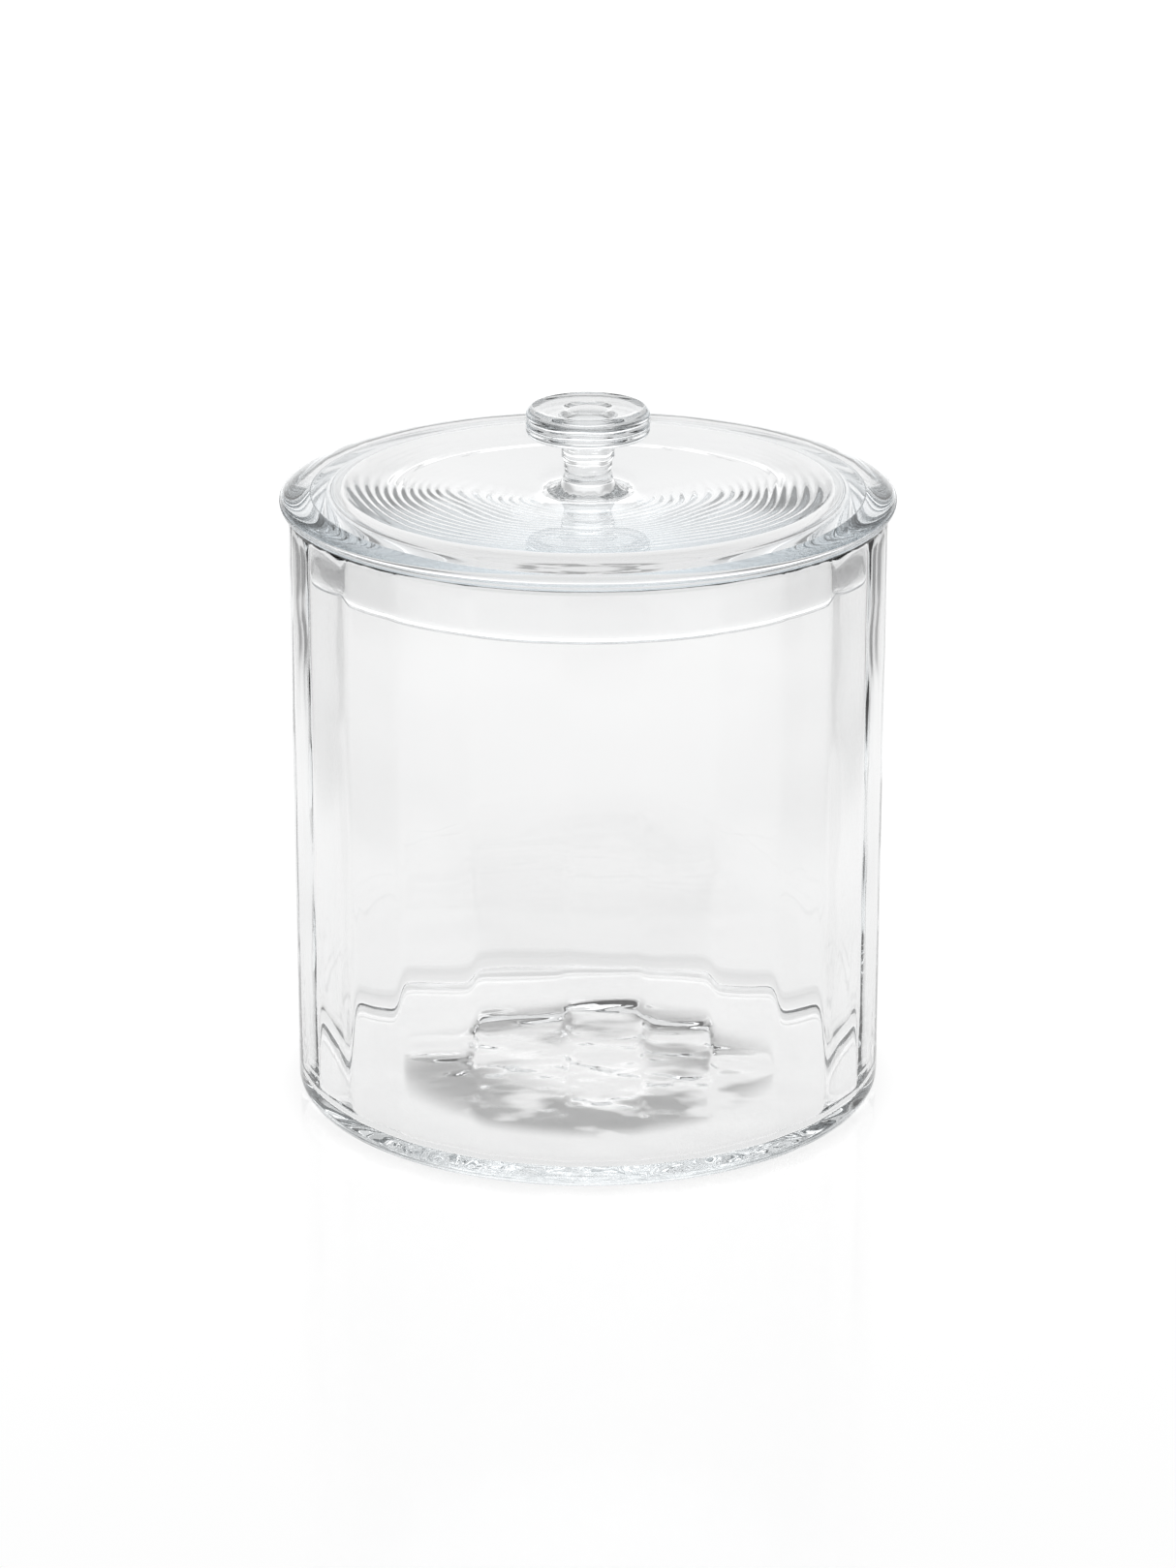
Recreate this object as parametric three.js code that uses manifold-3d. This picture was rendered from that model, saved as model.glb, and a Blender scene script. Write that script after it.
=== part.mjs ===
// Lidded glass canister: a straight-sided jar with flat panels inside its wall, a lid that is thick
// in the middle, rests on the rim and drops a skirt into the mouth, and a solid knob fused to it.
// Millimetres, +Z up, origin at the centre of the circle that the jar stands on, front towards -Y.
import * as THREE from "three";
import { mergeVertices } from "three/addons/utils/BufferGeometryUtils.js";
import Module from "manifold-3d";

// Jar
const JAR_RADIUS = 95;
const JAR_HEIGHT = 194.5;
const JAR_FOOT_ROUND = 5; // outer corner between the wall and the underside
const RIM_ROUND = 1.2; // outer edge of the ground rim
const PANEL_COUNT = 24; // flat vertical panels inside the wall
const PANEL_TURN = -6.5; // degrees from the front to the nearest edge between two panels
const PANEL_APOTHEM = 89; // axis to the middle of a panel
const FLOOR_THICKNESS = 5.4;
const FLOOR_ROUND = 5; // corner between a panel and the floor
const KICK_RADIUS = 60; // pushed-up middle of the underside
const KICK_FLAT = 34; // its flat part
const KICK_HEIGHT = 1;

// Lid, heights measured from the plane that rests on the rim
const SEAT_GAP = 0.3; // clearance between touching pieces
const LID_RADIUS = 97.6;
const LIP_ROUND = 3.2; // lower edge of the lip that overhangs the jar
const RIDGE_RADIUS = 81; // highest ring of the lid's top
const RIDGE_HEIGHT = 8.2;
const PAD_RADIUS = 14; // sunk flat middle that carries the knob
const PAD_HEIGHT = 3.7;
const DISH_POWER = 0.3; // the top rises fast round the pad and is then nearly flat
const RIDGE_THICKNESS = 4.4;
const BELLY_DEPTH = 16; // how far the underside hangs below its height at the ridge
const BELLY_POWER = 0.95;
const BELLY_ROUND = 8; // soft tip of the underside, on the axis
const SKIRT_RADIUS = 86.5;
const SKIRT_THICKNESS = 4;
const SKIRT_DEPTH = 19;
const SKIRT_FILLET = 5; // inside corner between the skirt and the plate

// Knob, heights measured from the foot's underside
const TOTAL_HEIGHT = 227;
const FOOT_RADIUS = 13;
const FOOT_EDGE = 1;
const FOOT_CHAMFER = 0.3;
const WAIST_RADIUS = 7.4;
const WAIST_HEIGHT = 8.2;
const BULGE_RADIUS = 8.45;
const BULGE_HEIGHT = 13.6;
const NECK_RADIUS = 7.9;
const HEAD_RADIUS = 19.6;
const HEAD_THICKNESS = 9.6;
const HEAD_ROUND = 2.4;
const NECK_FILLET = 1.6;
const CROWN_RADIUS = 15.6; // edge of the sunk middle of the head's top
const CROWN_DIP = 0.6;
const DIMPLE_RADIUS = 7.5;
const DIMPLE_SLOPE = 1; // width of the slope at the dimple's edge
const DIMPLE_DEPTH = 0.5;

// Facets round the axis, and steps along a profile
const JAR_SEGMENTS = 3 * PANEL_COUNT;
const LID_SEGMENTS = 72;
const KNOB_SEGMENTS = 40;
const EDGE_STEPS = 3;
const ROUND_STEPS = 5;
const CURVE_STEPS = 8;
const STEM_SHARES = [0.25, 0.5, 0.75, 1, 1.35]; // of the way from the waist to the bulge

const OVERCUT = 1; // how far the cutting shape stands above the rim
const SAME_POINT = 1e-4;

const wasm = await Module();
wasm.setup();

const point = (radius, height) => new THREE.Vector2(radius, height);

// Points on an elliptical arc of a profile; angles in degrees, 0 pointing away from the axis.
function arc(centreRadius, centreHeight, radiusAcross, radiusUp, from, to, steps) {
  return Array.from({ length: steps + 1 }, (_, i) => {
    const angle = THREE.MathUtils.degToRad(from + ((to - from) * i) / steps);
    return point(
      centreRadius + radiusAcross * Math.cos(angle),
      centreHeight + radiusUp * Math.sin(angle),
    );
  });
}

// Points between two radii on a curve given as height = f(radius). A crowding above 1 sets them
// closer together near the first radius.
function curve(fromRadius, toRadius, steps, heightAt, crowding = 1) {
  return Array.from({ length: steps + 1 }, (_, i) => {
    const radius = fromRadius + (toRadius - fromRadius) * (i / steps) ** crowding;
    return point(radius, heightAt(radius));
  });
}

// Drops a point that repeats the one before it.
function joined(...stretches) {
  return stretches.flat().filter((p, i, all) => i === 0 || p.distanceTo(all[i - 1]) > SAME_POINT);
}

// A profile turned about +Z, from the underside's middle outwards and up to the top's middle.
function turned(profile, segments, turnDegrees = 0) {
  const start = THREE.MathUtils.degToRad(turnDegrees);
  const geometry = new THREE.LatheGeometry(profile, segments, start);
  return geometry.rotateX(Math.PI / 2);
}

function toSolid(geometry) {
  const bare = geometry.clone();
  bare.deleteAttribute("normal");
  bare.deleteAttribute("uv");
  const merged = mergeVertices(bare, SAME_POINT);
  return new wasm.Manifold(
    new wasm.Mesh({
      numProp: 3,
      vertProperties: new Float32Array(merged.attributes.position.array),
      triVerts: new Uint32Array(merged.index.array),
    }),
  );
}

function toGeometry(solid) {
  const mesh = solid.getMesh();
  const geometry = new THREE.BufferGeometry();
  geometry.setAttribute("position", new THREE.BufferAttribute(mesh.vertProperties, 3));
  geometry.setIndex(new THREE.BufferAttribute(mesh.triVerts, 1));
  geometry.computeVertexNormals();
  return geometry;
}

// The jar's outside: a slightly pushed-up underside, a round foot, a straight wall and a flat rim.
function jarOutside() {
  const kick = (r) => KICK_HEIGHT * (1 - THREE.MathUtils.smoothstep(r, KICK_FLAT, KICK_RADIUS));
  const footCentre = JAR_RADIUS - JAR_FOOT_ROUND;
  const profile = joined(
    [point(0, KICK_HEIGHT)],
    curve(KICK_FLAT, KICK_RADIUS, ROUND_STEPS, kick),
    arc(footCentre, JAR_FOOT_ROUND, JAR_FOOT_ROUND, JAR_FOOT_ROUND, -90, 0, ROUND_STEPS),
    arc(JAR_RADIUS - RIM_ROUND, JAR_HEIGHT - RIM_ROUND, RIM_ROUND, RIM_ROUND, 0, 90, EDGE_STEPS),
    [point(0, JAR_HEIGHT)],
  );
  return turned(profile, JAR_SEGMENTS, PANEL_TURN);
}

// The space inside: one flat side for each panel, a round corner at the floor, open at the rim.
function jarInside() {
  const cornerRadius = PANEL_APOTHEM / Math.cos(Math.PI / PANEL_COUNT);
  const above = JAR_HEIGHT + OVERCUT;
  const floorCorner = arc(
    cornerRadius - FLOOR_ROUND,
    FLOOR_THICKNESS + FLOOR_ROUND,
    FLOOR_ROUND,
    FLOOR_ROUND,
    -90,
    0,
    ROUND_STEPS,
  );
  const profile = joined(
    [point(0, FLOOR_THICKNESS)],
    floorCorner,
    [point(cornerRadius, above), point(0, above)],
  );
  return turned(profile, PANEL_COUNT, PANEL_TURN);
}

function jarGeometry() {
  return toGeometry(toSolid(jarOutside()).subtract(toSolid(jarInside())));
}

// Height of the lid's top, from the sunk pad up to the ridge.
function plateTop(radius) {
  const share = Math.max(radius - PAD_RADIUS, 0) / (RIDGE_RADIUS - PAD_RADIUS);
  return PAD_HEIGHT + (RIDGE_HEIGHT - PAD_HEIGHT) * share ** DISH_POWER;
}

// Height of the lid's underside, a soft cone that hangs lowest on the axis.
function plateUnder(radius) {
  const share = Math.hypot(radius, BELLY_ROUND) / Math.hypot(RIDGE_RADIUS, BELLY_ROUND);
  return RIDGE_HEIGHT - RIDGE_THICKNESS - BELLY_DEPTH * (1 - share ** BELLY_POWER);
}

// The lid: plate, skirt with a round tip, flat seat, round lip and shoulder.
function lidGeometry() {
  const skirtInside = SKIRT_RADIUS - SKIRT_THICKNESS;
  const tipRadius = SKIRT_THICKNESS / 2;
  const tipHeight = tipRadius - SKIRT_DEPTH;
  const rootRadius = skirtInside - SKIRT_FILLET;
  const rootHeight = plateUnder(rootRadius);
  const filletHeight = rootHeight - SKIRT_FILLET;
  const lipRadius = LID_RADIUS - LIP_ROUND;
  const shoulderAcross = LID_RADIUS - RIDGE_RADIUS;
  const shoulderUp = RIDGE_HEIGHT - LIP_ROUND;
  const profile = joined(
    curve(0, rootRadius, CURVE_STEPS, plateUnder),
    arc(rootRadius, filletHeight, SKIRT_FILLET, SKIRT_FILLET, 90, 0, EDGE_STEPS),
    arc(skirtInside + tipRadius, tipHeight, tipRadius, tipRadius, -180, 0, ROUND_STEPS),
    [point(SKIRT_RADIUS, 0)],
    arc(lipRadius, LIP_ROUND, LIP_ROUND, LIP_ROUND, -90, 0, EDGE_STEPS),
    arc(RIDGE_RADIUS, LIP_ROUND, shoulderAcross, shoulderUp, 0, 90, CURVE_STEPS),
    curve(PAD_RADIUS, RIDGE_RADIUS, CURVE_STEPS, plateTop, 2).reverse(),
    [point(0, PAD_HEIGHT)],
  );
  return turned(profile, LID_SEGMENTS);
}

// The knob: flared foot, waisted stem with a soft bulge, thick disc head with a dished top.
function knobGeometry(height) {
  const headBottom = height - HEAD_THICKNESS;
  const flareAcross = FOOT_RADIUS - WAIST_RADIUS;
  const flareUp = WAIST_HEIGHT - FOOT_EDGE;
  const bulge = (z) => {
    const fromBulge = z < BULGE_HEIGHT ? WAIST_RADIUS : NECK_RADIUS;
    const span = z < BULGE_HEIGHT ? BULGE_HEIGHT - WAIST_HEIGHT : headBottom - BULGE_HEIGHT;
    const t = Math.min(Math.abs(z - BULGE_HEIGHT) / span, 1);
    return fromBulge + (BULGE_RADIUS - fromBulge) * (1 + Math.cos(Math.PI * t)) * 0.5;
  };
  const stem = STEM_SHARES.map((share) => {
    const z = WAIST_HEIGHT + (BULGE_HEIGHT - WAIST_HEIGHT) * share;
    return point(bulge(z), z);
  });
  const neckCentre = NECK_RADIUS + NECK_FILLET;
  const headCentre = HEAD_RADIUS - HEAD_ROUND;
  const profile = joined(
    [point(0, 0), point(FOOT_RADIUS - FOOT_CHAMFER, 0), point(FOOT_RADIUS, FOOT_CHAMFER)],
    arc(FOOT_RADIUS, WAIST_HEIGHT, flareAcross, flareUp, -90, -180, ROUND_STEPS),
    stem,
    arc(neckCentre, headBottom - NECK_FILLET, NECK_FILLET, NECK_FILLET, 180, 90, EDGE_STEPS),
    arc(headCentre, headBottom + HEAD_ROUND, HEAD_ROUND, HEAD_ROUND, -90, 0, EDGE_STEPS),
    arc(headCentre, height - HEAD_ROUND, HEAD_ROUND, HEAD_ROUND, 0, 90, EDGE_STEPS),
    [point(CROWN_RADIUS, height - CROWN_DIP), point(DIMPLE_RADIUS, height - CROWN_DIP)],
    [point(DIMPLE_RADIUS - DIMPLE_SLOPE, height - CROWN_DIP - DIMPLE_DEPTH)],
    [point(0, height - CROWN_DIP - DIMPLE_DEPTH)],
  );
  return turned(profile, KNOB_SEGMENTS);
}

function glass(color) {
  return new THREE.MeshStandardMaterial({
    color,
    roughness: 0.03,
    metalness: 0,
    transparent: true,
    opacity: 0.35,
  });
}

function piece(name, geometry, height, color) {
  const mesh = new THREE.Mesh(geometry, glass(color));
  mesh.name = name;
  mesh.position.z = height;
  return mesh;
}

const lidSeat = JAR_HEIGHT + SEAT_GAP;
const knobSeat = lidSeat + PAD_HEIGHT + SEAT_GAP;

const canister = new THREE.Group();
canister.add(piece("jar", jarGeometry(), 0, 0xe6edf0));
canister.add(piece("lid", lidGeometry(), lidSeat, 0xe2ebef));
canister.add(piece("knob", knobGeometry(TOTAL_HEIGHT - knobSeat), knobSeat, 0xe9eff1));

export default canister;
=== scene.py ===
"""Lidded glass canister in clear glass, on a plain white table in soft studio light."""

import math

import bpy
import numpy as np
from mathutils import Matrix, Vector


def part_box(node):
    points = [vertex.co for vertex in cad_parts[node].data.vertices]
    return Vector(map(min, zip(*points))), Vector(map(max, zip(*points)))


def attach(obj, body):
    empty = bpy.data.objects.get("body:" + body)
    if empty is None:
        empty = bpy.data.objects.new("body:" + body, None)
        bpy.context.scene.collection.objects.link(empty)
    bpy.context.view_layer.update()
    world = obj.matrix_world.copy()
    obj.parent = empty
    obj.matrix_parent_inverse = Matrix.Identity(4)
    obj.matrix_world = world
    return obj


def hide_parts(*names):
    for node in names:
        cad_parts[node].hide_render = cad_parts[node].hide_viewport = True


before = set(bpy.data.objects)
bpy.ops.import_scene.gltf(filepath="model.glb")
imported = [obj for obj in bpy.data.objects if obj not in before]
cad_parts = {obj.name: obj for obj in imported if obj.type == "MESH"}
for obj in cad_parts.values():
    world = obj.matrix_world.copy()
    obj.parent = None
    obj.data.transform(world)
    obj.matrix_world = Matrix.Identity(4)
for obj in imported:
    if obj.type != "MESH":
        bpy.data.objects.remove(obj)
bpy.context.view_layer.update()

MM = 0.001
JAR_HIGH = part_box("jar")[1]
LID_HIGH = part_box("lid")[1]
KNOB_LOW, KNOB_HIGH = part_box("knob")
SAME_POINT = 0.0001 * MM
SIZE_SPREAD = (0.6, 1.6)  # of the hollows in a random field
MOST_TURNS = 8  # waves of a random field round the axis

# Jar. Azimuths are in degrees from the front, growing towards +X.
CORNER_OFF_X = 1.5  # from the +X axis to the nearest corner of the CAD jar
JAR_RADIUS = JAR_HIGH.x / math.cos(math.radians(CORNER_OFF_X))
JAR_HEIGHT = JAR_HIGH.z
FOOT_ROUND = 5 * MM
RIM_ROUND = 1.2 * MM
PANELS = 24
PANEL_STEPS = 16
FIRST_EDGE = -6.5  # edge 0, where an even spacing would put it
EDGE_WANDER = {-4: -1.0, -3: -1.4, -2: -2.7, -1: -0.9, 0: 2.4, 1: 2.2, 2: 1.2, 3: 1.2, 4: -0.4, 5: -0.6}
HIDDEN_WANDER = 1.2  # of the edges not listed, at random
EDGE_CROWDING = 0.7  # how much closer the mesh gets to the edges
EDGE_RADIUS = 89.8 * MM
EDGE_SOFTNESS = 0.9  # degrees
EDGE_REACH = 4.0  # degrees
RADIUS_STEP = 0.1  # degrees
FLATNESS = 0.8  # 1 is a flat panel, 0 a round wall
FLOOR_THICKNESS = 5.4 * MM
FLOOR_ROUND = 5 * MM
KICK_RADIUS = 60 * MM
KICK_HEIGHT = 1 * MM
KICK_FLAT = 34 * MM
FLOOR_RELIEF = 0.05 * MM
FLOOR_SWELL = 26 * MM
FLOOR_FADE = (66 * MM, 80 * MM)
FLOOR_TOLERANCE = 0.1 * MM
KICK_RELIEF = 0.22 * MM
KICK_SWELL = 22 * MM
KICK_GRAIN = 0.06 * MM
GRAIN_SIZE = 7 * MM
KICK_FADE = (44 * MM, 58 * MM)
WALL_RELIEF = 0.05 * MM
WALL_SWELL = 40 * MM
WALL_RISE = (12 * MM, 30 * MM)
WALL_FALL = (JAR_HEIGHT - 30 * MM, JAR_HEIGHT - 22 * MM)
WALL_FROM = 84 * MM  # radius
RIM_STEPS = 5
RINGS_TO_PANELS = 3  # from the top of the rim

# Lid. Heights are from its seat.
GAP = 0.3 * MM
SEAT = JAR_HEIGHT + GAP
LID_RADIUS = LID_HIGH.x
LIP_ROUND = 3.2 * MM
RIDGE_RADIUS = 81 * MM
RIDGE_HEIGHT = 8.2 * MM
PAD_RADIUS = 14 * MM
PAD_HEIGHT = 3.7 * MM
RIDGE_GLASS = 4.4 * MM
DISH_POWER = 0.3
BELLY_DEPTH = 16 * MM
BELLY_POWER = 0.95
BELLY_ROUND = 8 * MM
SKIRT_RADIUS = 86.5 * MM
SKIRT_THICKNESS = 4 * MM
SKIRT_DEPTH = 19 * MM
SKIRT_FILLET = 5 * MM
LIP_FILLET = 0.6 * MM
PLATE_STEPS = 120
LID_STEP = 1.25  # degrees
RIPPLE_PITCH = 3.2 * MM
RIPPLE_HEIGHT = 0.14 * MM
RIPPLE_RISE = (16 * MM, 24 * MM)
RIPPLE_FALL = (72 * MM, 80 * MM)
RIPPLE_BEND = 2.0  # radians
BEND_SIZE = 50 * MM
RIPPLE_AT_BACK = 0.1  # share of the front's height
RIPPLE_SIDES = (-0.3, 0.3)  # cosines of the azimuths where it fades

# Knob. Heights are from its foot.
KNOB_HEIGHT = KNOB_HIGH.z - KNOB_LOW.z
HEAD_RADIUS = KNOB_HIGH.x
HEAD_THICKNESS = 9.6 * MM
HEAD_ROUND = 2.4 * MM
HEAD_BOTTOM = KNOB_HEIGHT - HEAD_THICKNESS
CROWN_RADIUS = 15.6 * MM
CROWN_DIP = 0.6 * MM
DIMPLE_RADIUS = 7.5 * MM
DIMPLE_SLOPE = 1 * MM
DIMPLE_DEPTH = 0.5 * MM
FOOT_RADIUS = 13 * MM
FOOT_CHAMFER = 0.4 * MM
FOOT_EDGE = 1 * MM
WAIST_RADIUS = 7.4 * MM
WAIST_HEIGHT = 8.2 * MM
BULGE_RADIUS = 8.45 * MM
BULGE_HEIGHT = 13.6 * MM
NECK_RADIUS = 7.9 * MM
NECK_FILLET = 1.6 * MM
KNOB_STEP = 2.5  # degrees
STEM_POINTS = 50
HEAD_RING_DEPTH = 0.2 * MM
HEAD_RING_WIDTH = 0.28 * MM
HEAD_RING_PITCH = 2.1 * MM
STEM_RING_DEPTH = 0.12 * MM
STEM_RING_PITCH = 3.2 * MM
HEAD_RING_DRIFT = 0.1
HEAD_RINGS_FROM = (HEAD_BOTTOM + 1.2 * MM, HEAD_BOTTOM + 2.6 * MM)
HEAD_RINGS_TO = (KNOB_HEIGHT - 3.2 * MM, KNOB_HEIGHT - 1.8 * MM)
HEAD_RINGS_OUT = (18 * MM, 19.4 * MM)
STEM_RINGS_FROM = (6 * MM, 8 * MM)
STEM_RINGS_TO = (HEAD_BOTTOM - 3 * MM, HEAD_BOTTOM - 1 * MM)
RING_DRIFT = 0.35
DRIFT_SIZE = 30 * MM
FOOT_CRINKLE = 0.3 * MM
CRINKLE_BASE = 1.2
CRINKLE_SIZE = 3 * MM
CRINKLE_TO = (2 * MM, 5 * MM)
CRINKLE_OUT = (9 * MM, 12 * MM)

# Camera, in metres and degrees, with lens and film in millimetres
AIM_HEIGHT = 0.101
CAMERA_PITCH = 19.35
CAMERA_DISTANCE = 1.5
LENS = 106.5
FILM = 36
NEAREST = 0.05
LIGHT_BOUNCES = 32

# Table, in metres. SEEN, BRIGHT and DARK are levels of light, SHADE and SHARE are shares of one.
TABLE_RADIUS = 12.0
TABLE_DROP = 0.1 * MM  # below the canister's foot
TABLE_SIDES = 96
TABLE_ROUGHNESS = 0.1
TABLE_IOR = 1.4
TABLE_SEEN = 0.93
TABLE_BRIGHT = 0.83
# Painted shade under the kick, set by the next six numbers: a ring of shade on the table, made patchy by
# noise, in the light the table gives the glass.
UNDER_START = (0.018, 0.034)
UNDER_END = (0.05, 0.062)
UNDER_SHADE = 0.35
SHADE_PATCH_SCALE = 32.0
SHADE_PATCH_DETAIL = 3.0
SHADE_PATCHES = (0.42, 0.58)  # levels of the noise
# TABLE_NEAR and NEAR_SHADE: painted shade of the canister on the table, fading in towards it, in the
# light the table gives the glass.
TABLE_NEAR = (0.1, 0.45)
# CONTACT and CONTACT_SHADE: a painted contact shadow on the table round the canister's foot, where the
# camera sees the table.
CONTACT = (0.09, 0.108)
CONTACT_SHADE = 0.88
NEAR_SHADE = 0.95
# The table's glow, in the light it gives the glass, is painted dark at the sides and dimmer at the front,
# full in the middle and far off.
TABLE_DARK = 0.15
TABLE_FRONT = (-0.32, -0.18)
FRONT_SHARE = 0.4
TABLE_SIDE = (0.28, 0.42)
TABLE_FAR = (1.4, 2.2)

# Room. Pairs are spans of a direction's height, from 0 level to 1 overhead, or of its turn,
# from 1 at the back to -1 at the front. The rest are levels of light.
ROOM_SEEN = 1.0
ROOM_BACK = (0.4, 0.5)
BACK_RISE = (0.4, 0.6)
BACK_LOW = 0.6
BACK_HIGH = 0.85
HORIZON = (0.06, 0.2)
STRIP = (0.9, 0.97)
STRIP_LIGHT = 0.4
STRIP_RISE = (0.35, 0.5)
FLANK = (0.65, 0.8)
FLANK_RISE = (0.25, 0.4)
FLANK_LIGHT = 0.3
ROOM_FRONT = (-0.9, -0.6)
FRONT_RISE = (0.3, 0.5)
FRONT_LOW = 0.0
FRONT_HIGH = 0.2
ROOM_TOP = (0.7, 0.85)
SIDE_HORIZON = 0.75
SIDE_LIGHT = 0.0
TOP_LIGHT = 0.78

# Glass
GLASS_IOR = 1.5
WAVE_DETAIL = 1.0

rng = np.random.default_rng(7)


def arc(centre_radius, centre_height, across, up, start, end, steps):
    """Profile points on an elliptical arc; 0 degrees points away from the axis."""
    angles = np.radians(np.linspace(start, end, steps + 1))
    return np.stack([centre_radius + across * np.cos(angles), centre_height + up * np.sin(angles)], 1)


def line(start, end, steps):
    """Evenly spaced profile points from start to end."""
    return np.linspace(start, end, steps + 1)


def joined(*stretches):
    """One profile from several, without repeated points."""
    points = np.concatenate([np.atleast_2d(s) for s in stretches])
    gaps = np.linalg.norm(np.diff(points, axis=0), axis=1)
    return points[np.concatenate([[True], gaps > SAME_POINT])]


def smooth(value, low, high):
    """0 below low, 1 above high and a soft step between them."""
    t = np.clip((value - low) / (high - low), 0, 1)
    return t * t * (3 - 2 * t)


def between(value, rise, fall):
    """1 between two spans, fading out across each of them."""
    return smooth(value, *rise) * (1 - smooth(value, *fall))


def waves(azimuth, height, seed, scale, count=6):
    """Smooth random field of about unit height over azimuth in radians and height or radius in metres."""
    random = np.random.default_rng(seed)
    field = np.zeros(np.broadcast(azimuth, height).shape)
    for _ in range(count):
        turns = random.integers(1, MOST_TURNS + 1)
        rate = random.normal() / scale
        field = field + np.sin(turns * azimuth + 2 * math.pi * (rate * height + random.random()))
    return field / math.sqrt(count / 2)


def relief(x, y, seed, size, count=24):
    """Smooth random field of about unit height over x and y, with hollows about size across."""
    random = np.random.default_rng(seed)
    field = np.zeros(np.shape(x))
    for _ in range(count):
        heading = random.uniform(0, 2 * math.pi)
        rate = 2 * math.pi / (size * random.uniform(*SIZE_SPREAD))
        start = random.uniform(0, 2 * math.pi)
        field = field + np.sin(rate * (x * math.cos(heading) + y * math.sin(heading)) + start)
    return field / math.sqrt(count / 2)


def revolve(name, profile, azimuths, shape):
    """A closed mesh from a profile whose ends lie on the axis. shape moves the rings' points."""
    rings = profile[1:-1]
    count, turns = len(rings), len(azimuths)
    radius, azimuth = np.meshgrid(rings[:, 0], azimuths, indexing="ij")
    height = np.repeat(rings[:, 1:2], turns, axis=1)
    radius, height = shape(radius, height, azimuth)
    co = np.stack([radius * np.sin(azimuth), -radius * np.cos(azimuth), height], -1).reshape(-1, 3)
    ends = np.array([[0, 0, height[0].mean()], [0, 0, height[-1].mean()]])
    co = np.concatenate([co, ends])
    low = np.arange(count * turns).reshape(count, turns)
    here, there = low[:-1], low[1:]
    quads = np.stack([here, np.roll(here, -1, 1), np.roll(there, -1, 1), there], -1).reshape(-1, 4)
    first = np.full(turns, count * turns)
    fan_low = np.stack([first, np.roll(low[0], -1), low[0]], -1)
    fan_high = np.stack([first + 1, low[-1], np.roll(low[-1], -1)], -1)
    mesh = bpy.data.meshes.new(name)
    mesh.from_pydata(co.tolist(), [], quads.tolist() + fan_low.tolist() + fan_high.tolist())
    mesh.shade_smooth()
    mesh.update()
    obj = bpy.data.objects.new(name, mesh)
    bpy.context.scene.collection.objects.link(obj)
    return obj


def panel_edges():
    """Azimuths in degrees of the edges between the panels, which wander a little as in blown glass."""
    steps = range(-PANELS // 2, PANELS // 2)
    wander = [EDGE_WANDER.get(k, rng.normal() * HIDDEN_WANDER) for k in steps]
    return np.array([FIRST_EDGE + k * 360 / PANELS + w for k, w in zip(steps, wander)])


EDGES = panel_edges()
NEXT_EDGES = np.append(EDGES[1:], EDGES[0] + 360)


def panel_azimuths():
    """Azimuths closer together near the edges of the panels, radians."""
    share = np.linspace(0, 1, PANEL_STEPS, endpoint=False)
    share = share - np.sin(2 * math.pi * share) / (2 * math.pi) * EDGE_CROWDING
    return np.radians((EDGES[:, None] + share[None] * (NEXT_EDGES - EDGES)[:, None]).ravel())


def panel_radius(azimuth):
    """Distance of the flat panels from the axis, as a share of the edges' distance."""
    grid = np.arange(0, 360, RADIUS_STEP)
    inner = np.ones(len(grid))
    for start, end in zip(EDGES, NEXT_EDGES):
        middle, half = (start + end) / 2, (end - start) / 2
        away = (grid - middle + 180) % 360 - 180
        chord = math.cos(math.radians(half)) / np.cos(np.radians(away))
        inner = np.where(np.abs(away) <= half, 1 - FLATNESS * (1 - chord), inner)
    reach = round(EDGE_REACH / RADIUS_STEP)
    away = np.arange(-reach, reach + 1) * RADIUS_STEP
    kernel = np.exp(-0.5 * (away / EDGE_SOFTNESS) ** 2)
    kernel /= kernel.sum()
    soft = np.convolve(np.concatenate([inner[-reach:], inner, inner[:reach]]), kernel, "valid")
    return np.interp(np.degrees(azimuth) % 360, np.append(grid, 360), np.append(soft, soft[0]))


def on_curve(start, end, height_at, steps):
    """Profile points at evenly spaced radii, at the heights that height_at gives."""
    radius = np.linspace(start, end, steps + 1)
    return np.stack([radius, height_at(radius)], 1)


def kick_height(radius):
    """Height of the pushed-up middle of the underside."""
    return KICK_HEIGHT * (1 - smooth(radius, KICK_FLAT, KICK_RADIUS))


def jar_profile():
    """Underside, foot, outer wall, rim, inner wall and floor."""
    foot = JAR_RADIUS - FOOT_ROUND
    rim = JAR_HEIGHT - RIM_ROUND
    outer_rim, inner_rim = JAR_RADIUS - RIM_ROUND, EDGE_RADIUS + RIM_ROUND
    floor, corner = EDGE_RADIUS - FLOOR_ROUND, FLOOR_THICKNESS + FLOOR_ROUND
    return joined(
        on_curve(0, KICK_RADIUS, kick_height, steps=59),
        line((KICK_RADIUS, 0), (foot, 0), steps=8),
        arc(foot, FOOT_ROUND, FOOT_ROUND, FOOT_ROUND, -90, 0, steps=14),
        line((JAR_RADIUS, FOOT_ROUND), (JAR_RADIUS, rim), steps=30),
        arc(outer_rim, rim, RIM_ROUND, RIM_ROUND, 0, 90, steps=RIM_STEPS),
        arc(inner_rim, rim, RIM_ROUND, RIM_ROUND, 90, 180, steps=RIM_STEPS),
        line((EDGE_RADIUS, rim), (EDGE_RADIUS, corner), steps=40),
        arc(floor, corner, FLOOR_ROUND, FLOOR_ROUND, 0, -90, steps=10),
        line((floor, FLOOR_THICKNESS), (0, FLOOR_THICKNESS), steps=60),
    )


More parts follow.
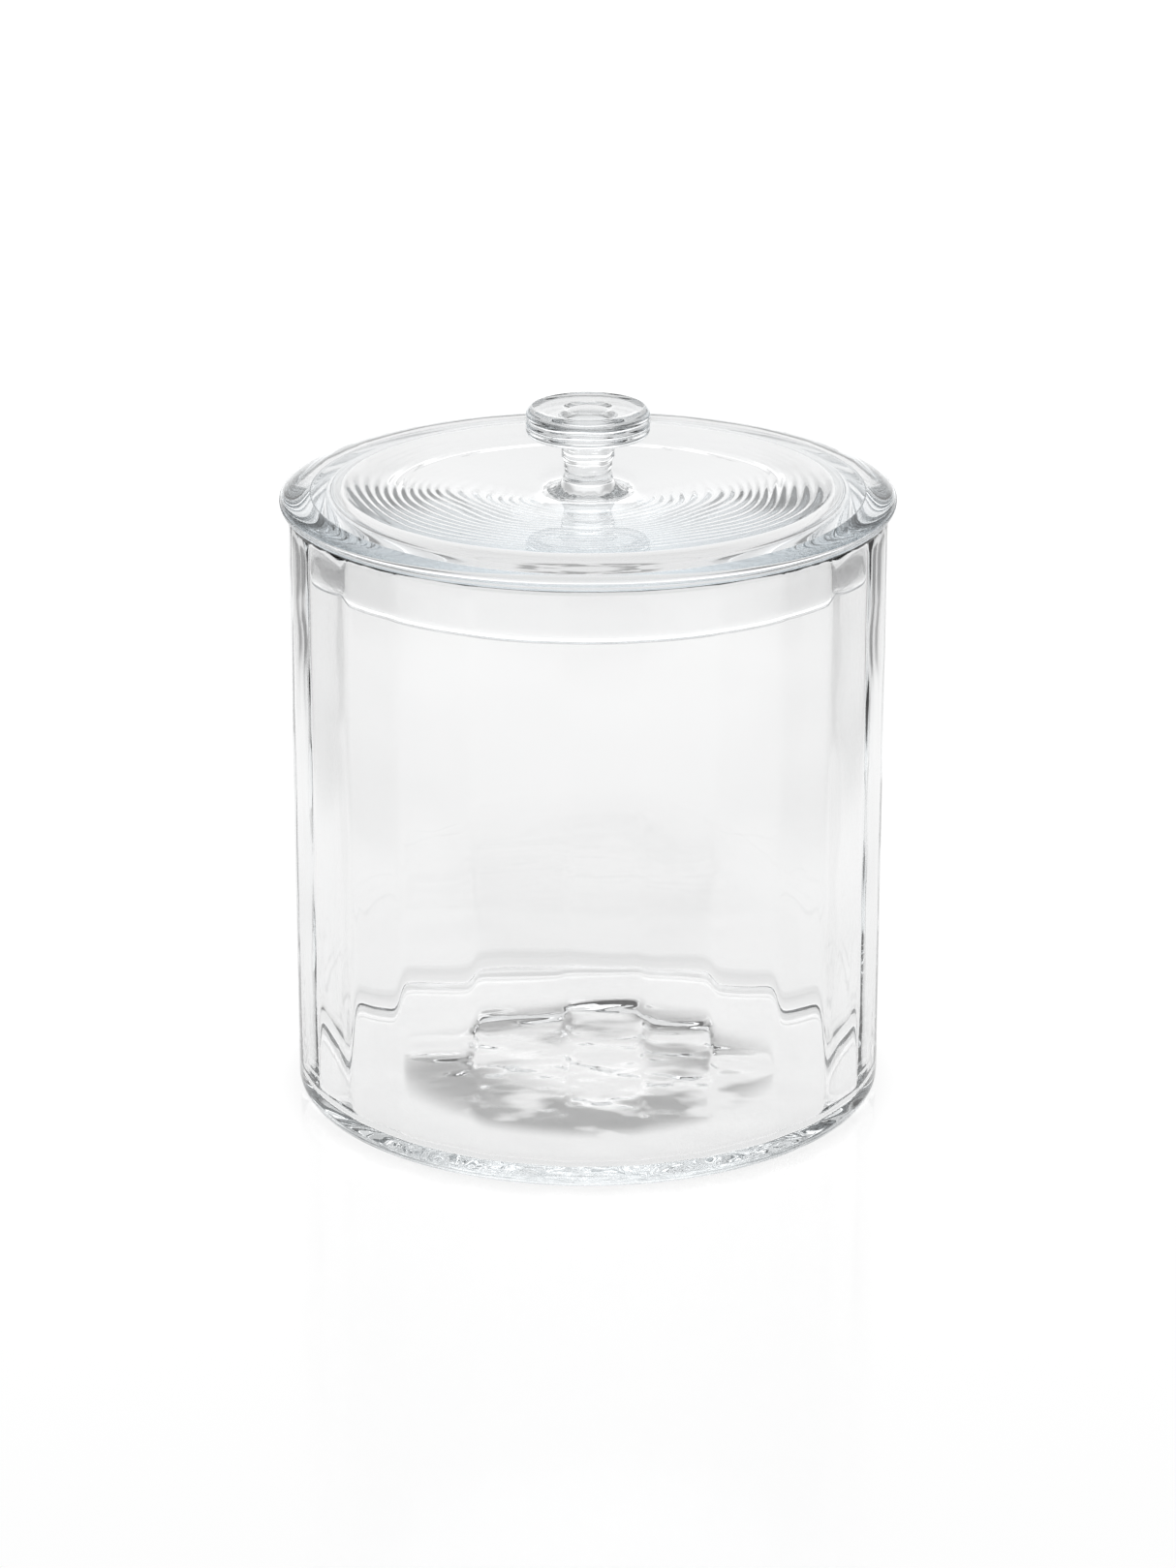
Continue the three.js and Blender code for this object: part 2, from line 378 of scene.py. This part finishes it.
def build_jar():
    profile = jar_profile()
    rings = profile[1:-1]
    inside = np.zeros(len(rings), bool)
    inside[np.argmax(rings[:, 1]) + RINGS_TO_PANELS :] = True
    inside = inside[:, None]

    def shape(radius, height, azimuth):
        """The panels and faint swells of the inner wall, an uneven floor and an uneven kick."""
        swell = WALL_RELIEF * relief(EDGE_RADIUS * azimuth, height, seed=11, size=WALL_SWELL)
        swell = swell * between(height, WALL_RISE, WALL_FALL)
        wall = radius * panel_radius(azimuth) + np.where(radius > WALL_FROM, swell, 0)
        radius = np.where(inside, wall, radius)
        x, y = radius * np.sin(azimuth), -radius * np.cos(azimuth)
        floor = FLOOR_RELIEF * relief(x, y, seed=21, size=FLOOR_SWELL)
        floor = floor * (1 - smooth(radius, *FLOOR_FADE))
        kick = KICK_RELIEF * relief(x, y, seed=22, size=KICK_SWELL)
        kick = kick + KICK_GRAIN * relief(x, y, seed=23, size=GRAIN_SIZE)
        kick = kick * (1 - smooth(radius, *KICK_FADE))
        low = height < FLOOR_THICKNESS + FLOOR_TOLERANCE
        height = height + np.where(inside & low, floor, 0)
        height = height + np.where(~inside & low & (radius < KICK_RADIUS), kick, 0)
        return radius, np.maximum(height, 0)

    obj = revolve("jar_glass", profile, panel_azimuths(), shape)
    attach(obj, "jar")
    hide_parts("jar")
    return obj


def lid_top(radius):
    """Height of the dished top, from the flat pad up to the ridge."""
    share = np.clip((radius - PAD_RADIUS) / (RIDGE_RADIUS - PAD_RADIUS), 0, 1)
    return PAD_HEIGHT + (RIDGE_HEIGHT - PAD_HEIGHT) * share**DISH_POWER


def lid_under(radius):
    """Height of the underside, a soft cone that hangs lowest on the axis."""
    share = np.hypot(radius, BELLY_ROUND) / np.hypot(RIDGE_RADIUS, BELLY_ROUND)
    return RIDGE_HEIGHT - RIDGE_GLASS - BELLY_DEPTH * (1 - share**BELLY_POWER)


def lid_profile():
    """Underside, skirt, seat, rounded shoulder and dished top."""
    inside = SKIRT_RADIUS - SKIRT_THICKNESS
    tip = SKIRT_THICKNESS / 2
    tip_height = tip - SKIRT_DEPTH
    root = inside - SKIRT_FILLET
    fillet = float(lid_under(root)) - SKIRT_FILLET
    lip = LID_RADIUS - LIP_ROUND
    across, up = LID_RADIUS - RIDGE_RADIUS, RIDGE_HEIGHT - LIP_ROUND
    return joined(
        on_curve(0, root, lid_under, steps=PLATE_STEPS),
        arc(root, fillet, SKIRT_FILLET, SKIRT_FILLET, 90, 0, steps=10),
        line((inside, fillet), (inside, tip_height), steps=6),
        arc(inside + tip, tip_height, tip, tip, -180, 0, steps=12),
        line((SKIRT_RADIUS, tip_height), (SKIRT_RADIUS, -LIP_FILLET), steps=6),
        arc(SKIRT_RADIUS + LIP_FILLET, -LIP_FILLET, LIP_FILLET, LIP_FILLET, 180, 90, steps=3),
        arc(lip, LIP_ROUND, LIP_ROUND, LIP_ROUND, -90, 0, steps=10),
        arc(RIDGE_RADIUS, LIP_ROUND, across, up, 0, 90, steps=24),
        on_curve(RIDGE_RADIUS, 0, lid_top, steps=PLATE_STEPS),
    )


def build_lid():
    profile = lid_profile()
    under = np.zeros(len(profile) - 2, bool)
    under[:PLATE_STEPS] = True
    under = under[:, None]

    def shape(radius, height, azimuth):
        """Ripples round the axis in the underside, bent here and there and faint at the back."""
        bend = RIPPLE_BEND * waves(azimuth, radius, seed=5, scale=BEND_SIZE)
        phase = 2 * math.pi * (radius / RIPPLE_PITCH) + bend
        front = RIPPLE_AT_BACK + (1 - RIPPLE_AT_BACK) * smooth(np.cos(azimuth), *RIPPLE_SIDES)
        ripple = RIPPLE_HEIGHT * np.sin(phase) * between(radius, RIPPLE_RISE, RIPPLE_FALL) * front
        return radius, height + np.where(under, ripple, 0) + SEAT

    obj = revolve("lid_glass", profile, np.radians(np.arange(0, 360, LID_STEP)), shape)
    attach(obj, "lid")
    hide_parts("lid")
    return obj


def stem_radius(height):
    """Radius of the stem: widest at the bulge, slimmer at the waist below and the neck above."""
    start = np.where(height < BULGE_HEIGHT, WAIST_RADIUS, NECK_RADIUS)
    span = np.where(height < BULGE_HEIGHT, BULGE_HEIGHT - WAIST_HEIGHT, HEAD_BOTTOM - BULGE_HEIGHT)
    t = np.minimum(np.abs(height - BULGE_HEIGHT) / span, 1)
    return start + (BULGE_RADIUS - start) * (1 + np.cos(math.pi * t)) * 0.5


def knob_profile():
    """Flat foot, flared stem and a disc head with a sunk crown and a dimple."""
    stem = np.linspace(WAIST_HEIGHT, HEAD_BOTTOM - NECK_FILLET, STEM_POINTS)
    flare, up = FOOT_RADIUS - WAIST_RADIUS, WAIST_HEIGHT - FOOT_EDGE
    neck, head = NECK_RADIUS + NECK_FILLET, HEAD_RADIUS - HEAD_ROUND
    low, high = HEAD_BOTTOM + HEAD_ROUND, KNOB_HEIGHT - HEAD_ROUND
    crown, dimple = KNOB_HEIGHT - CROWN_DIP, KNOB_HEIGHT - CROWN_DIP - DIMPLE_DEPTH
    return joined(
        line((0, 0), (FOOT_RADIUS - FOOT_CHAMFER, 0), steps=16),
        line((FOOT_RADIUS, FOOT_CHAMFER), (FOOT_RADIUS, FOOT_EDGE), steps=2),
        arc(FOOT_RADIUS, WAIST_HEIGHT, flare, up, -90, -180, steps=20),
        np.stack([stem_radius(stem), stem], 1),
        arc(neck, HEAD_BOTTOM - NECK_FILLET, NECK_FILLET, NECK_FILLET, 180, 90, steps=6),
        line((neck, HEAD_BOTTOM), (head, HEAD_BOTTOM), steps=8),
        arc(head, low, HEAD_ROUND, HEAD_ROUND, -90, 0, steps=10),
        line((HEAD_RADIUS, low), (HEAD_RADIUS, high), steps=60),
        arc(head, high, HEAD_ROUND, HEAD_ROUND, 0, 90, steps=10),
        line((CROWN_RADIUS, crown), (DIMPLE_RADIUS, crown), steps=8),
        line((DIMPLE_RADIUS - DIMPLE_SLOPE, dimple), (0, dimple), steps=8),
    )


def build_knob():
    def shape(radius, height, azimuth):
        """Fine rings round the head's rim and the stem, and a crinkled edge of the foot."""
        drift = RING_DRIFT * waves(azimuth, height, seed=31, scale=DRIFT_SIZE)
        place = (height / HEAD_RING_PITCH + HEAD_RING_DRIFT * drift) % 1 - 0.5
        head = between(height, HEAD_RINGS_FROM, HEAD_RINGS_TO) * smooth(radius, *HEAD_RINGS_OUT)
        head = head * np.exp(-((place * HEAD_RING_PITCH / HEAD_RING_WIDTH) ** 2))
        stem = between(height, STEM_RINGS_FROM, STEM_RINGS_TO)
        stem = stem * np.sin(2 * math.pi * height / STEM_RING_PITCH + drift)
        edge = (1 - smooth(height, *CRINKLE_TO)) * smooth(radius, *CRINKLE_OUT)
        x, y = FOOT_RADIUS * np.cos(azimuth), FOOT_RADIUS * np.sin(azimuth)
        crinkle = FOOT_CRINKLE * edge * (CRINKLE_BASE + relief(x, y, seed=33, size=CRINKLE_SIZE))
        rings = HEAD_RING_DEPTH * head + STEM_RING_DEPTH * stem
        return radius - rings - np.maximum(crinkle, 0), height + KNOB_LOW.z

    obj = revolve("knob_glass", knob_profile(), np.radians(np.arange(0, 360, KNOB_STEP)), shape)
    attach(obj, "lid")
    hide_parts("knob")
    return obj


def glass(name, tint, density, wave_scale, wave_height):
    """Clear glass that absorbs a little on long paths and has a faint watery surface."""
    material = bpy.data.materials.new(name)
    material.use_nodes = True
    nodes, links = material.node_tree.nodes, material.node_tree.links
    shader = nodes["Principled BSDF"]
    shader.inputs["Base Color"].default_value = (1, 1, 1, 1)
    shader.inputs["Roughness"].default_value = 0.0
    shader.inputs["IOR"].default_value = GLASS_IOR
    shader.inputs["Transmission Weight"].default_value = 1.0
    place = nodes.new("ShaderNodeTexCoord")
    noise = nodes.new("ShaderNodeTexNoise")
    noise.inputs["Scale"].default_value = wave_scale
    noise.inputs["Detail"].default_value = WAVE_DETAIL
    links.new(place.outputs["Object"], noise.inputs["Vector"])
    bump = nodes.new("ShaderNodeBump")
    bump.inputs["Distance"].default_value = wave_height
    links.new(noise.outputs[0], bump.inputs["Height"])
    links.new(bump.outputs["Normal"], shader.inputs["Normal"])
    volume = nodes.new("ShaderNodeVolumeAbsorption")
    volume.inputs["Color"].default_value = (*tint, 1)
    volume.inputs["Density"].default_value = density
    links.new(volume.outputs[0], nodes["Material Output"].inputs["Volume"])
    return material


def ramp(nodes, links, value, low, high, at_low=0.0, at_high=1.0):
    """A smooth step of value, from at_low below low to at_high above high."""
    node = nodes.new("ShaderNodeMapRange")
    node.interpolation_type = "SMOOTHSTEP"
    node.inputs["From Min"].default_value = low
    node.inputs["From Max"].default_value = high
    node.inputs["To Min"].default_value = at_low
    node.inputs["To Max"].default_value = at_high
    links.new(value, node.inputs["Value"])
    return node.outputs[0]


def calculate(nodes, links, operation, *values):
    """A math node fed with numbers or with other nodes' outputs."""
    node = nodes.new("ShaderNodeMath")
    node.operation = operation
    for socket, value in zip(node.inputs, values):
        if isinstance(value, (int, float)):
            socket.default_value = value
        else:
            links.new(value, socket)
    return node.outputs[0]


def seen_or_lit(nodes, links, seen, lit):
    """One level where the camera looks straight at a surface, another where it lights the glass."""
    path = nodes.new("ShaderNodeLightPath")
    pick = nodes.new("ShaderNodeMix")
    links.new(path.outputs["Is Camera Ray"], pick.inputs["Factor"])
    links.new(lit, pick.inputs["A"])
    if isinstance(seen, float):
        pick.inputs["B"].default_value = seen
    else:
        links.new(seen, pick.inputs["B"])
    return pick.outputs[0]


def table_shade(nodes, links, position, distance):
    """Painted shade on the table, as a share of full light: a patchy ring under the kick and a slow fade
    towards the canister.
    """
    # A ring of painted shade under the kick, lifted to full light where the noise runs high, so that it
    # is patchy.
    inner = ramp(nodes, links, distance, *UNDER_START, 1.0, UNDER_SHADE)
    outer = ramp(nodes, links, distance, *UNDER_END, UNDER_SHADE, 1.0)
    noise = nodes.new("ShaderNodeTexNoise")
    noise.inputs["Scale"].default_value = SHADE_PATCH_SCALE
    noise.inputs["Detail"].default_value = SHADE_PATCH_DETAIL
    links.new(position, noise.inputs["Vector"])
    shade_patches = ramp(nodes, links, noise.outputs[0], *SHADE_PATCHES)
    under = calculate(nodes, links, "MAXIMUM", calculate(nodes, links, "MAXIMUM", inner, outer), shade_patches)
    # Painted shade fading in towards the canister.
    near = ramp(nodes, links, distance, *TABLE_NEAR, NEAR_SHADE, 1.0)
    return calculate(nodes, links, "MULTIPLY", under, near)


def table_share(nodes, links, position, distance):
    """How far the table is lit: fully in the middle and far off, less at the front and the sides."""
    split = nodes.new("ShaderNodeSeparateXYZ")
    links.new(position, split.inputs[0])
    across = calculate(nodes, links, "ABSOLUTE", split.outputs["X"])
    front = ramp(nodes, links, split.outputs["Y"], *TABLE_FRONT, FRONT_SHARE, 0.0)
    behind = ramp(nodes, links, split.outputs["Y"], *TABLE_FRONT)
    middle = ramp(nodes, links, across, *TABLE_SIDE, 1.0, 0.0)
    middle = calculate(nodes, links, "MULTIPLY", middle, behind)
    near = calculate(nodes, links, "MAXIMUM", front, middle)
    return calculate(nodes, links, "MAXIMUM", near, ramp(nodes, links, distance, *TABLE_FAR))


def stage():
    """A broad white acrylic table that glows as if lit from below round the canister and mirrors a
    little, with painted shade and a painted contact shadow round and under the canister.
    """
    mesh = bpy.data.meshes.new("table")
    turns = np.linspace(0, 2 * math.pi, TABLE_SIDES, endpoint=False)
    ring = [(TABLE_RADIUS * math.cos(a), TABLE_RADIUS * math.sin(a), -TABLE_DROP) for a in turns]
    mesh.from_pydata(ring, [], [tuple(range(len(ring)))])
    table = bpy.data.objects.new("table", mesh)
    bpy.context.scene.collection.objects.link(table)
    material = bpy.data.materials.new("white_acrylic")
    material.use_nodes = True
    nodes, links = material.node_tree.nodes, material.node_tree.links
    shader = nodes["Principled BSDF"]
    shader.inputs["Base Color"].default_value = (0, 0, 0, 1)
    shader.inputs["Roughness"].default_value = TABLE_ROUGHNESS
    shader.inputs["IOR"].default_value = TABLE_IOR
    shader.inputs["Emission Color"].default_value = (1, 1, 1, 1)
    position = nodes.new("ShaderNodeNewGeometry").outputs["Position"]
    reach = nodes.new("ShaderNodeVectorMath")
    reach.operation = "LENGTH"
    links.new(position, reach.inputs[0])
    distance = reach.outputs["Value"]
    share = table_share(nodes, links, position, distance)
    # Painted light level of the table's glow, times the painted shade under and round the canister.
    level = ramp(nodes, links, share, 0.0, 1.0, TABLE_DARK, TABLE_BRIGHT)
    lit = calculate(nodes, links, "MULTIPLY", table_shade(nodes, links, position, distance), level)
    # The table as the camera sees it: evenly bright, with a painted contact shadow round the foot.
    seen = ramp(nodes, links, distance, *CONTACT, TABLE_SEEN * CONTACT_SHADE, TABLE_SEEN)
    links.new(seen_or_lit(nodes, links, seen, lit), shader.inputs["Emission Strength"])
    mesh.materials.append(material)


def turn_and_height(nodes, links):
    """A direction's turn to the back, 1 to -1, and its height."""
    coords = nodes.new("ShaderNodeTexCoord")
    split = nodes.new("ShaderNodeSeparateXYZ")
    links.new(coords.outputs["Generated"], split.inputs[0])
    height = split.outputs["Z"]
    square = calculate(nodes, links, "MULTIPLY", height, height)
    level = calculate(nodes, links, "SQRT", calculate(nodes, links, "SUBTRACT", 1.0, square))
    return calculate(nodes, links, "DIVIDE", split.outputs["Y"], level), height


def light():
    """A studio that is bright overhead and straight behind, and dark low at the sides."""
    world = bpy.data.worlds.new("studio")
    bpy.context.scene.world = world
    world.use_nodes = True
    nodes, links = world.node_tree.nodes, world.node_tree.links
    turn, height = turn_and_height(nodes, links)
    at_back = ramp(nodes, links, turn, *ROOM_BACK)
    wall = ramp(nodes, links, height, *BACK_RISE, BACK_LOW, BACK_HIGH)
    wall = calculate(nodes, links, "MULTIPLY", at_back, wall)
    strip = ramp(nodes, links, height, *STRIP_RISE, STRIP_LIGHT, 0.0)
    strip = calculate(nodes, links, "MULTIPLY", ramp(nodes, links, turn, *STRIP), strip)
    flank = ramp(nodes, links, height, *FLANK_RISE, FLANK_LIGHT, 0.0)
    flank = calculate(nodes, links, "MULTIPLY", ramp(nodes, links, turn, *FLANK, 1.0, 0.0), flank)
    flank = calculate(nodes, links, "MULTIPLY", flank, at_back)
    front = ramp(nodes, links, height, *FRONT_RISE, FRONT_LOW, FRONT_HIGH)
    front = calculate(nodes, links, "MULTIPLY", ramp(nodes, links, turn, *ROOM_FRONT, 1.0, 0.0), front)
    side = ramp(nodes, links, height, *HORIZON, SIDE_HORIZON, SIDE_LIGHT)
    low = wall
    for part in (strip, flank, front, side):
        low = calculate(nodes, links, "ADD", low, part)
    mix = nodes.new("ShaderNodeMix")
    links.new(ramp(nodes, links, height, *ROOM_TOP), mix.inputs["Factor"])
    links.new(low, mix.inputs["A"])
    mix.inputs["B"].default_value = TOP_LIGHT
    nodes["Background"].inputs["Color"].default_value = (1, 1, 1, 1)
    level = seen_or_lit(nodes, links, ROOM_SEEN, mix.outputs[0])
    links.new(level, nodes["Background"].inputs["Strength"])


def camera():
    """Looks down at the canister from the front, at the pitch CAMERA_PITCH."""
    pitch = math.radians(CAMERA_PITCH)
    data = bpy.data.cameras.new("camera")
    data.lens = LENS
    data.sensor_width = FILM
    data.sensor_fit = "AUTO"
    data.clip_start = NEAREST
    obj = bpy.data.objects.new("camera", data)
    bpy.context.scene.collection.objects.link(obj)
    away, up = CAMERA_DISTANCE * math.cos(pitch), CAMERA_DISTANCE * math.sin(pitch)
    obj.location = (0, -away, AIM_HEIGHT + up)
    obj.rotation_euler = (math.pi / 2 - pitch, 0, 0)
    bpy.context.scene.camera = obj


def jar_glass():
    tint = (0.85, 0.89, 0.91)
    return glass("jar_glass", tint, density=4.0, wave_scale=45.0, wave_height=0.05 * MM)


def lid_glass():
    tint = (0.78, 0.86, 0.91)
    return glass("lid_glass", tint, density=5.0, wave_scale=60.0, wave_height=0.03 * MM)


def knob_glass():
    tint = (0.8, 0.85, 0.88)
    return glass("knob_glass", tint, density=10.0, wave_scale=220.0, wave_height=0.005 * MM)


camera()
stage()
light()
build_jar().data.materials.append(jar_glass())
build_lid().data.materials.append(lid_glass())
build_knob().data.materials.append(knob_glass())

scene = bpy.context.scene
scene.view_settings.view_transform = "Standard"
scene.cycles.max_bounces = LIGHT_BOUNCES
scene.cycles.transmission_bounces = LIGHT_BOUNCES
scene.cycles.glossy_bounces = LIGHT_BOUNCES
